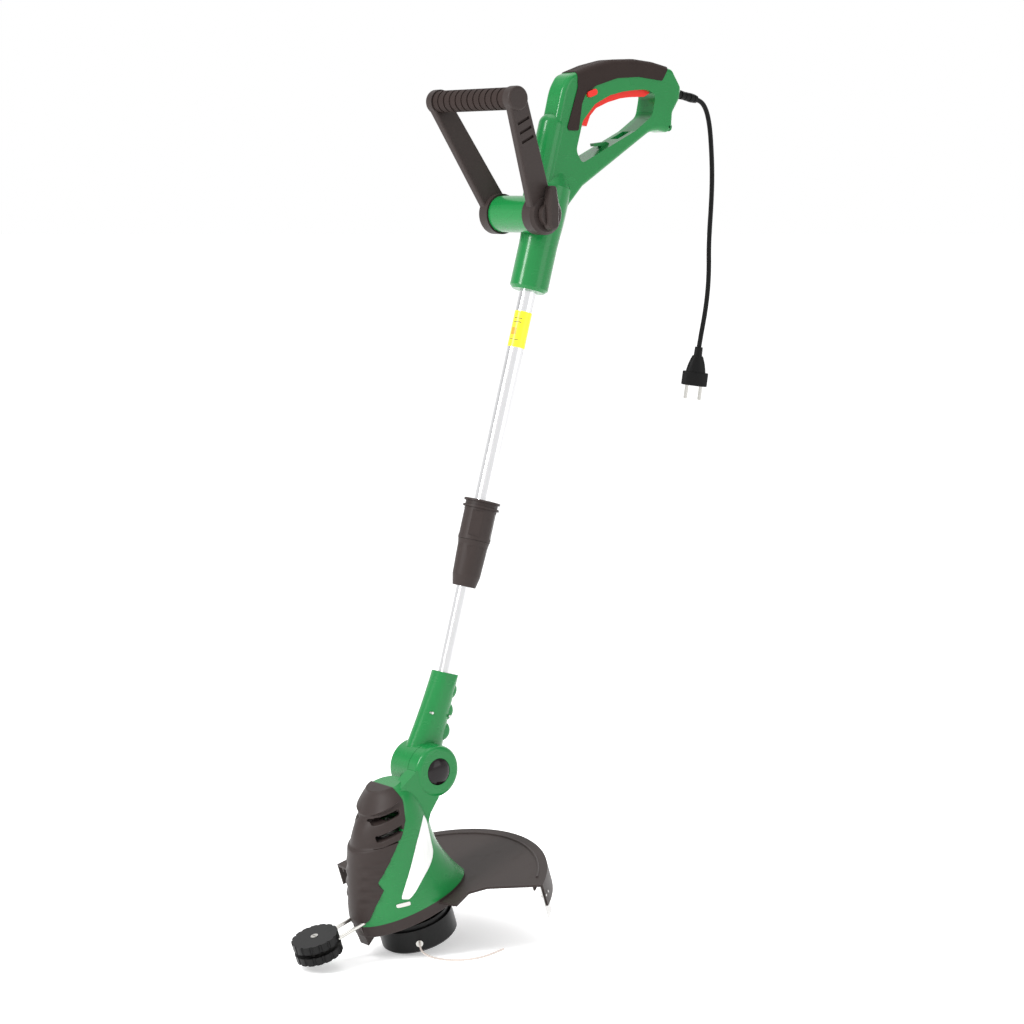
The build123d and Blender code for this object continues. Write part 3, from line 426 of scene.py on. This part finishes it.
# ---- camera, light and floor --------------------------------------------------------------
CAMERA_TURN = 52.0         # degrees round from the tool's rear, towards its left side
CAMERA_RISE = 7.0
CAMERA_LENS = 91.4
CAMERA_AWAY = 3.3333       # metres from the subject, then aside and down
CAMERA_RIGHT = 0.0359
CAMERA_DOWN = 0.0410
SUBJECT = Vector((0, -0.2289, -0.5231))     # a point on the upper tube near the clamp
# Each soft light: name, then metres across, above and towards the camera, size, watts
LIT_SPOT = Vector((0, -0.2, -0.5))          # what the lights are aimed at
SOFT_LIGHTS = (("key", -2.0, 1.3, 1.4, (0.6, 1.8), 62), ("fill", 2.4, 0.6, 1.6, (1.6, 2.0), 14),
               ("rim", 1.2, 1.4, -2.2, (1.0, 2.0), 16), ("top", 0.0, 2.4, 0.0, (1.6, 1.6), 12))
# Darkening of the sky towards either side of the view, as (sideways share, darkness)
SIDE_SHADE = ((0.0, 0.0), (0.50, 0.0), (0.74, 0.58), (1.0, 0.70))
SHADE_FROM = 0.20          # height over the horizon, as a sine, where that darkening begins
SHADE_STEEP = 5            # and how fast it grows with height
PAPER_MIDDLE = 0.6         # radius of the floor's middle disc, metres
PAPER_RINGS = (1.5, 4, 10, 24, 60)


def camera_axes():
    turn, rise = math.radians(CAMERA_TURN), math.radians(CAMERA_RISE)
    back = Vector((math.sin(turn) * math.cos(rise), -math.cos(turn) * math.cos(rise), math.sin(rise)))
    right = Vector((0, 0, 1)).cross(back).normalized()
    return right, back.cross(right), back


def aim(thing, target):
    thing.rotation_euler = (thing.location - target).to_track_quat("Z", "Y").to_euler()


def add_light(name, place, target, size, power):
    lamp = bpy.data.lights.new(name, "AREA")
    lamp.shape = "RECTANGLE"
    lamp.size, lamp.size_y = size
    lamp.energy = power
    holder = bpy.data.objects.new(name, lamp)
    holder.location = place
    bpy.context.scene.collection.objects.link(holder)
    aim(holder, target)


def studio_sky(right):
    """A white world, darker high up on both sides so that bright metal has edges."""
    world = bpy.data.worlds.new("studio")
    world.use_nodes = True
    tree = world.node_tree
    background = tree.nodes["Background"]
    where = Value(tree, tree.nodes.new("ShaderNodeTexCoord").outputs["Generated"])
    across = tree.nodes.new("ShaderNodeVectorMath")
    across.operation = "DOT_PRODUCT"
    feed(tree, across.inputs[0], where)
    across.inputs[1].default_value = right
    sideways = Value(tree, across.outputs["Value"])
    shade = tree.nodes.new("ShaderNodeValToRGB")
    fill_ramp(shade.color_ramp, [(share, (dark, dark, dark)) for share, dark in SIDE_SHADE])
    feed(tree, shade.inputs["Fac"], sideways.math("ABSOLUTE", sideways, 0))
    split = tree.nodes.new("ShaderNodeSeparateXYZ")
    feed(tree, split.inputs["Vector"], where)
    rise = (Value(tree, split.outputs["Z"]) - SHADE_FROM) * SHADE_STEEP
    rise = rise.math("MINIMUM", rise.math("MAXIMUM", rise, 0), 1)
    background.inputs["Color"].default_value = (1, 1, 1, 1)
    feed(tree, background.inputs["Strength"], 1 - rise * Value(tree, shade.outputs["Color"]))
    return world


class TrimmerStage(bpy.types.Operator):
    """Add the camera, the soft lights and the pale floor"""
    bl_idname = "trimmer.stage"
    bl_label = "Stage"

    def execute(self, context):
        right, up, back = camera_axes()
        lens = bpy.data.cameras.new("view_camera")
        lens.lens = CAMERA_LENS
        lens.sensor_width = 36
        lens.clip_end = 60
        camera = bpy.data.objects.new("view_camera", lens)
        camera.matrix_world = Matrix((right, up, back)).transposed().to_4x4()
        camera.location = SUBJECT + CAMERA_AWAY * back + CAMERA_RIGHT * right - CAMERA_DOWN * up
        context.scene.collection.objects.link(camera)
        context.scene.camera = camera
        context.scene.view_settings.view_transform = "Standard"

        context.scene.world = studio_sky(right)
        for name, sideways, above, towards, size, power in SOFT_LIGHTS:
            place = LIT_SPOT + sideways * right + above * up + towards * back
            add_light(name, place, LIT_SPOT, size, power)
        self.lay_paper(context)
        return {"FINISHED"}

    def lay_paper(self, context):
        """A wide round sheet of pale paper under the tool, as a fan of rings."""
        mesh = bpy.data.meshes.new("studio_floor")
        sheet = bmesh.new()
        bmesh.ops.create_circle(sheet, cap_ends=True, cap_tris=True, radius=PAPER_MIDDLE,
                              segments=96)
        for reach in PAPER_RINGS:
            rim = [edge for edge in sheet.edges if edge.is_boundary]
            grown = bmesh.ops.extrude_edge_only(sheet, edges=rim)["geom"]
            for vert in (part for part in grown if isinstance(part, bmesh.types.BMVert)):
                vert.co = vert.co.normalized() * reach
        bmesh.ops.recalc_face_normals(sheet, faces=sheet.faces)
        sheet.to_mesh(mesh)
        sheet.free()
        floor = bpy.data.objects.new("studio_floor", mesh)
        floor.location = (0, -0.2, FLOOR_LEVEL - 0.0005)
        mesh.materials.append(material("studio_paper_finish", studio_paper, (0.90, 0.90, 0.90)))
        context.scene.collection.objects.link(floor)


# ---- mains cord and cutting line ----------------------------------------------------------
CORD_EXIT = tube_point(0, 209, 318.3)
CORD_ROUTE = [(0, 0.1376, -0.0348), (0, 0.1449, -0.0405), (0, 0.1510, -0.0510),
              (0, 0.1560, -0.0700), (0, 0.1587, -0.0950), (0, 0.1606, -0.1220),
              (0, 0.1608, -0.1500), (0, 0.1594, -0.1780), (0, 0.1572, -0.2060),
              (0, 0.1560, -0.2340), (0, 0.1567, -0.2620), (0, 0.1548, -0.2920),
              (0, 0.1498, -0.3220), (0, 0.1440, -0.3460), (0, 0.1397, -0.3660)]
LINE_ROUTE = [(52, -35.4), (68, -42), (88, -43), (108, -39), (127, -31), (144, -19), (156, -3),
              (161, 16)]
LINE_LEVEL = -192
EYE_ANGLE = math.radians(-34.3)
EYE_REACH = 45.5


class TrimmerCord(bpy.types.Operator):
    """Add the mains cord that hangs from the rear handle"""
    bl_idname = "trimmer.cord"
    bl_label = "Mains cord"

    def execute(self, context):
        width = context.scene.trimmer_sizes.cord_width
        points = [CORD_EXIT] + [Vector(point) for point in CORD_ROUTE]
        cord = spline_piece("mains_cord_sheath", points, width, finishes()["cord_rubber"],
                            "handle", "cord_rubber", "mains_cord")
        return {"FINISHED"}


class TrimmerLine(bpy.types.Operator):
    """Add the end of the cutting line that stands out of the spool"""
    bl_idname = "trimmer.line"
    bl_label = "Cutting line"

    def execute(self, context):
        width = context.scene.trimmer_sizes.line_width
        start = (EYE_REACH * math.cos(EYE_ANGLE), EYE_REACH * math.sin(EYE_ANGLE))
        points = [head_point(side, rear - MOTOR_BACK / MM, LINE_LEVEL)
                  for side, rear in [start] + LINE_ROUTE]
        line = spline_piece("cutting_line_end", points, width, finishes()["line_nylon"],
                            "rotor", "line_nylon", "cutting_line")
        return {"FINISHED"}


# ---- finishes on the frame's own parts ----------------------------------------------------
class TrimmerFinishes(bpy.types.Operator):
    """Give every part of the frame the finish of its material slot"""
    bl_idname = "trimmer.finishes"
    bl_label = "Finishes"

    def execute(self, context):
        by_slot = finishes()
        for subpart in frame["record"]["subparts"]:
            node = frame["nodes"][subpart["node"]]
            finish = by_slot[subpart["material_slot"]]
            node.data.materials.clear()
            node.data.materials.append(finish)
        return {"FINISHED"}


# ---- label and badge ----------------------------------------------------------------------
def shell_of(node):
    """A search tree over a frame part's surface."""
    mesh = frame["nodes"][node].data
    return BVHTree.FromPolygons([v.co for v in mesh.vertices], [p.vertices for p in mesh.polygons])


LABEL_RADIUS = 11.14       # millimetres, just over the upper tube
LABEL_RIM = 0.4
LABEL_CORNER = 3.0
LABEL_STEPS = 72
LABEL_WRAP = 165           # degrees to each side; the foil's ends do not meet
FOIL_THICK = 0.0001


class TrimmerLabel(bpy.types.Operator):
    """Add the label that wraps the upper tube"""
    bl_idname = "trimmer.label"
    bl_label = "Tube label"

    def execute(self, context):
        sizes = context.scene.trimmer_sizes
        colours = context.scene.trimmer_colours
        low, high = -sizes.label_low / MM, -sizes.label_high / MM
        mesh = bpy.data.meshes.new("tube_label")
        sleeve = bmesh.new()
        levels = [low, low + LABEL_RIM, low + LABEL_CORNER]
        levels += [high - LABEL_CORNER, high - LABEL_RIM, high]
        rows = []
        for level in levels:
            row = []
            for step in range(LABEL_STEPS + 1):
                angle = math.radians(LABEL_WRAP * (2 * step / LABEL_STEPS - 1))
                place = tube_point(LABEL_RADIUS * math.sin(angle), -LABEL_RADIUS * math.cos(angle),
                                   level)
                row.append(sleeve.verts.new(place))
            rows.append(row)
        for lower, upper in zip(rows, rows[1:]):
            for step in range(LABEL_STEPS):
                face = sleeve.faces.new((lower[step], lower[step + 1], upper[step + 1], upper[step]))
                face.smooth = True
        bmesh.ops.recalc_face_normals(sleeve, faces=sleeve.faces)
        sleeve.to_mesh(mesh)
        sleeve.free()
        finish = material("tube_label_finish", tube_label, colours.label)
        label = new_object("tube_label", mesh, finish, "handle", "line_nylon")
        shell = label.modifiers.new("foil", "SOLIDIFY")
        shell.thickness = FOIL_THICK
        shell.offset = 0
        return {"FINISHED"}


BADGE_OUTLINE = [(-41, -40), (-38, -50), (-44, -89), (-51, -97), (-102, -127), (-113, -122),
                 (-91, -94), (-66, -62)]
BADGE_BAR = [(-121, -126), (-103, -129), (-104, -134), (-121, -131)]
BADGE_THICK = 0.0009
PLATE_RINGS = 14
PLATE_GAP = 0.0001         # between a laid plate and the part that it lies on
CAST_FROM = 150            # millimetres to the left, where the rays onto the part start


def rounded_loop(corners, share=0.22, steps=5):
    """An outline with its corners rounded: each corner is a short curve between its two sides."""
    loop = []
    corners = [Vector(corner) for corner in corners]
    for index, corner in enumerate(corners):
        before = corner.lerp(corners[index - 1], share)
        after = corner.lerp(corners[(index + 1) % len(corners)], share)
        for step in range(steps + 1):
            t = step / steps
            loop.append(before.lerp(corner, t).lerp(corner.lerp(after, t), t))
    return loop


def laid_plate(name, outline, node, thickness, finish, body, slot_name):
    """A thin plate on the left side of a frame part: an outline in the side view, cut into
    small faces, dropped sideways onto the part and given its thickness outwards."""
    shell = shell_of(node)
    plate = bmesh.new()
    rim = rounded_loop(outline)
    middle = sum(rim, Vector((0, 0))) / len(rim)
    rings = []
    for step in range(1, PLATE_RINGS + 1):
        ring = []
        for point in rim:
            rear, up = middle.lerp(point, step / PLATE_RINGS)
            hit, normal, _, _ = shell.ray_cast(head_point(CAST_FROM, rear, up), -SIDE)
            ring.append(plate.verts.new(hit + PLATE_GAP * normal))
        rings.append(ring)
    hit, normal, _, _ = shell.ray_cast(head_point(CAST_FROM, *middle), -SIDE)
    centre = plate.verts.new(hit + PLATE_GAP * normal)
    for index in range(len(rim)):
        plate.faces.new((centre, rings[0][index - 1], rings[0][index]))
        for inner, outer in zip(rings, rings[1:]):
            plate.faces.new((inner[index - 1], outer[index - 1], outer[index], inner[index]))
    bmesh.ops.recalc_face_normals(plate, faces=plate.faces)
    for face in plate.faces:
        face.smooth = True
    if sum(face.normal.x for face in plate.faces) < 0:
        bmesh.ops.reverse_faces(plate, faces=plate.faces)
    mesh = bpy.data.meshes.new(name)
    plate.to_mesh(mesh)
    plate.free()
    piece = new_object(name, mesh, finish, body, slot_name)
    solid = piece.modifiers.new("thickness", "SOLIDIFY")
    solid.thickness = thickness
    solid.offset = 1
    edge = piece.modifiers.new("edge", "BEVEL")
    edge.width = thickness * 0.35
    edge.segments = 2
    edge.angle_limit = math.radians(50)
    return piece


class TrimmerBadge(bpy.types.Operator):
    """Add the plain plate and its bright bar on the motor housing"""
    bl_idname = "trimmer.badge"
    bl_label = "Badge"

    def execute(self, context):
        face = material("badge_face_finish", badge_face, context.scene.trimmer_colours.badge)
        laid_plate("side_badge", BADGE_OUTLINE, "housing_left", BADGE_THICK, face, "head", "chrome")
        laid_plate("badge_bar", BADGE_BAR, "housing_left", BADGE_THICK, finishes()["chrome"], "head",
                   "chrome")
        return {"FINISHED"}


# ---- sculpted shells ----------------------------------------------------------------------
def smooth_step(low, high, value):
    """Zero at low and one at high, with an even curve between; low may be the larger."""
    t = min(max((value - low) / (high - low), 0.0), 1.0)
    return t * t * (3 - 2 * t)


def resculpted(node, voxel, shift, rounds):
    """A copy of a frame part with even small faces, softened edges and moved vertices.
    shift gives how far a point at (side, rear, up) in the head's axes moves."""
    source = frame["nodes"][node]
    copy = bpy.data.objects.new(node + "_form", source.data.copy())
    bpy.context.scene.collection.objects.link(copy)
    weld = copy.modifiers.new("weld", "WELD")
    weld.merge_threshold = 0.00001
    remesh = copy.modifiers.new("remesh", "REMESH")
    remesh.mode = "VOXEL"
    remesh.voxel_size = voxel
    soften = copy.modifiers.new("soften", "SMOOTH")
    soften.factor = 0.5
    soften.iterations = rounds
    shaped = copy.evaluated_get(bpy.context.evaluated_depsgraph_get())
    mesh = bpy.data.meshes.new_from_object(shaped)
    bpy.data.objects.remove(copy)
    for vert in mesh.vertices:
        local = vert.co - TILT_PIN
        place = (local.dot(SIDE) / MM, local.dot(MOTOR_REAR) / MM, local.dot(MOTOR_UP) / MM)
        vert.co += MM * shift(place)
    mesh.polygons.foreach_set("use_smooth", [True] * len(mesh.polygons))
    mesh.materials.clear()
    return mesh


COVER_VOXEL = 0.0009       # metres
COVER_REACH = (-66, -80)   # where the shaping fades out towards the housing, in the side view
BROW_LEVEL = -7
BROW_PROUD = 3.0           # how far the brow stands out, and how high it runs out above
BROW_HIGH = 17
HOLLOW_DEEP = 2.6
MIDDLE_SHARE = 0.35        # how much of the brow is left on the cover's front
WAVE_DEEP = 0.9
WAVE_PITCH = 15
SLOT_MIDDLE = -92          # rearward place of the slots
SLOT_TILT = 0.3            # how much they rise towards the rear
SLOT_FRONT = -18           # the tilt stops this far forward of their middle
SLOT_DROP = 5


def cover_form(place):
    """The front cover's brow, the hollow under it with its tilted slots, and its soft waves."""
    side, rear, up = place
    outward = Vector((side, rear - FRONT_AXIS, 0))
    if outward.length < 1:
        return Vector((0, 0, 0))
    out = (SIDE * outward.x + MOTOR_REAR * outward.y).normalized()
    reach = smooth_step(*COVER_REACH, rear)
    over = up - BROW_LEVEL
    lift = BROW_PROUD * smooth_step(-1, 1, over) * max(0.0, 1 - over / BROW_HIGH)
    lift -= HOLLOW_DEEP * smooth_step(1, -2, over) * smooth_step(-40, -12, over)
    lift *= MIDDLE_SHARE + (1 - MIDDLE_SHARE) * smooth_step(6, 26, abs(side))
    flank = smooth_step(-62, -72, up) * smooth_step(-126, -112, up) * smooth_step(8, 20, abs(side))
    wave = WAVE_DEEP * math.sin((up + 0.25 * rear) * math.tau / WAVE_PITCH)
    slots = reach * smooth_step(12, -6, up) * smooth_step(-56, -38, up)
    drop = SLOT_TILT * max(rear - SLOT_MIDDLE, SLOT_FRONT) - SLOT_DROP
    return out * (lift + wave * flank) * reach + MOTOR_UP * slots * drop


class TrimmerCover(bpy.types.Operator):
    """Add the sculpted front cover of the motor housing"""
    bl_idname = "trimmer.cover"
    bl_label = "Front cover"

    def execute(self, context):
        mesh = resculpted("motor_cover", COVER_VOXEL, cover_form, 2)
        mesh.name = "cover_form"
        new_object("cover_form", mesh, finishes()["dark_plastic"], "head", "dark_plastic",
                   "motor_cover")
        return {"FINISHED"}


def lathed(name, profile, axis, start, finish, body, slot_name, *replaced):
    """A turned piece: a profile of (radius, distance along the axis) pairs in metres."""
    turned = bmesh.new()
    across = axis.orthogonal().normalized()
    rim = [turned.verts.new(start + distance * axis + radius * across)
           for radius, distance in profile]
    edges = [turned.edges.new(pair) for pair in zip(rim, rim[1:])]
    bmesh.ops.spin(turned, geom=rim + edges, cent=start, axis=axis, angle=math.tau, steps=64)
    bmesh.ops.remove_doubles(turned, verts=turned.verts, dist=1e-6)
    bmesh.ops.recalc_face_normals(turned, faces=turned.faces)
    for face in turned.faces:
        face.smooth = True
    mesh = bpy.data.meshes.new(name)
    turned.to_mesh(mesh)
    turned.free()
    return new_object(name, mesh, finish, body, slot_name, *replaced)


DOME_FROM = 0.55           # share of the button's depth where its dome begins
DOME_STEPS = 12


class TrimmerButton(bpy.types.Operator):
    """Add the glossy domed button of the tilt lock"""
    bl_idname = "trimmer.button"
    bl_label = "Tilt button"

    def execute(self, context):
        low, high = (Vector(corner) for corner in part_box("tilt_button"))
        middle = (low + high) / 2
        radius = (high.z - low.z) / 2
        start = Vector((low.x, middle.y, middle.z))
        height = high.x - low.x
        rim = height * DOME_FROM
        profile = [(0, 0), (radius, 0), (radius, rim)]
        for step in range(1, DOME_STEPS + 1):
            turn = math.radians(90 * step / DOME_STEPS)
            profile.append((radius * math.cos(turn), rim + (height - rim) * math.sin(turn)))
        lathed("button_dome", profile, SIDE, start, finishes()["button_dark"], "tilt_button",
               "button_dark", "tilt_button")
        return {"FINISHED"}


BEAD_RADIUS = 170.0        # the raised line on the guard, from the motor's axis
BEAD_WIDTH = 0.0030
BEAD_ARC = range(42, 173, 4)    # degrees round the motor's axis


class TrimmerGuardBead(bpy.types.Operator):
    """Add the raised line that runs inside the guard's rim"""
    bl_idname = "trimmer.guard_bead"
    bl_label = "Guard bead"

    def execute(self, context):
        shell = shell_of("guard")
        points = []
        for degrees in BEAD_ARC:
            turn = math.radians(degrees)
            side = BEAD_RADIUS * math.cos(turn)
            rear = BEAD_RADIUS * math.sin(turn) - MOTOR_BACK / MM
            points.append(shell.ray_cast(head_point(side, rear, 60), -MOTOR_UP)[0])
        spline_piece("guard_bead", points, BEAD_WIDTH, finishes()["dark_plastic"], "head",
                     "dark_plastic")
        return {"FINISHED"}


class TRIMMER_PT_panel(bpy.types.Panel):
    """The trimmer's pieces, in the order in which they are made"""
    bl_idname = "TRIMMER_PT_panel"
    bl_label = "Trimmer"
    bl_space_type = "VIEW_3D"
    bl_region_type = "UI"
    bl_category = "Trimmer"

    def draw(self, context):
        for group in (context.scene.trimmer_colours, context.scene.trimmer_sizes):
            for name in group.__annotations__:
                self.layout.prop(group, name)
        for operator in OPERATORS:
            self.layout.operator(operator.bl_idname)


OPERATORS = (TrimmerStage, TrimmerCord, TrimmerLine, TrimmerFinishes, TrimmerLabel, TrimmerBadge,
             TrimmerCover, TrimmerButton, TrimmerGuardBead)
CLASSES = (TrimmerColours, TrimmerSizes, *OPERATORS, TRIMMER_PT_panel)


def register():
    for cls in CLASSES:
        bpy.utils.register_class(cls)
    bpy.types.Scene.trimmer_colours = PointerProperty(type=TrimmerColours)
    bpy.types.Scene.trimmer_sizes = PointerProperty(type=TrimmerSizes)


def unregister():
    del bpy.types.Scene.trimmer_sizes
    del bpy.types.Scene.trimmer_colours
    for cls in reversed(CLASSES):
        bpy.utils.unregister_class(cls)


def main():
    register()
    for operator in OPERATORS:
        group, name = operator.bl_idname.split(".")
        getattr(getattr(bpy.ops, group), name)()


if __name__ == "__main__":
    main()
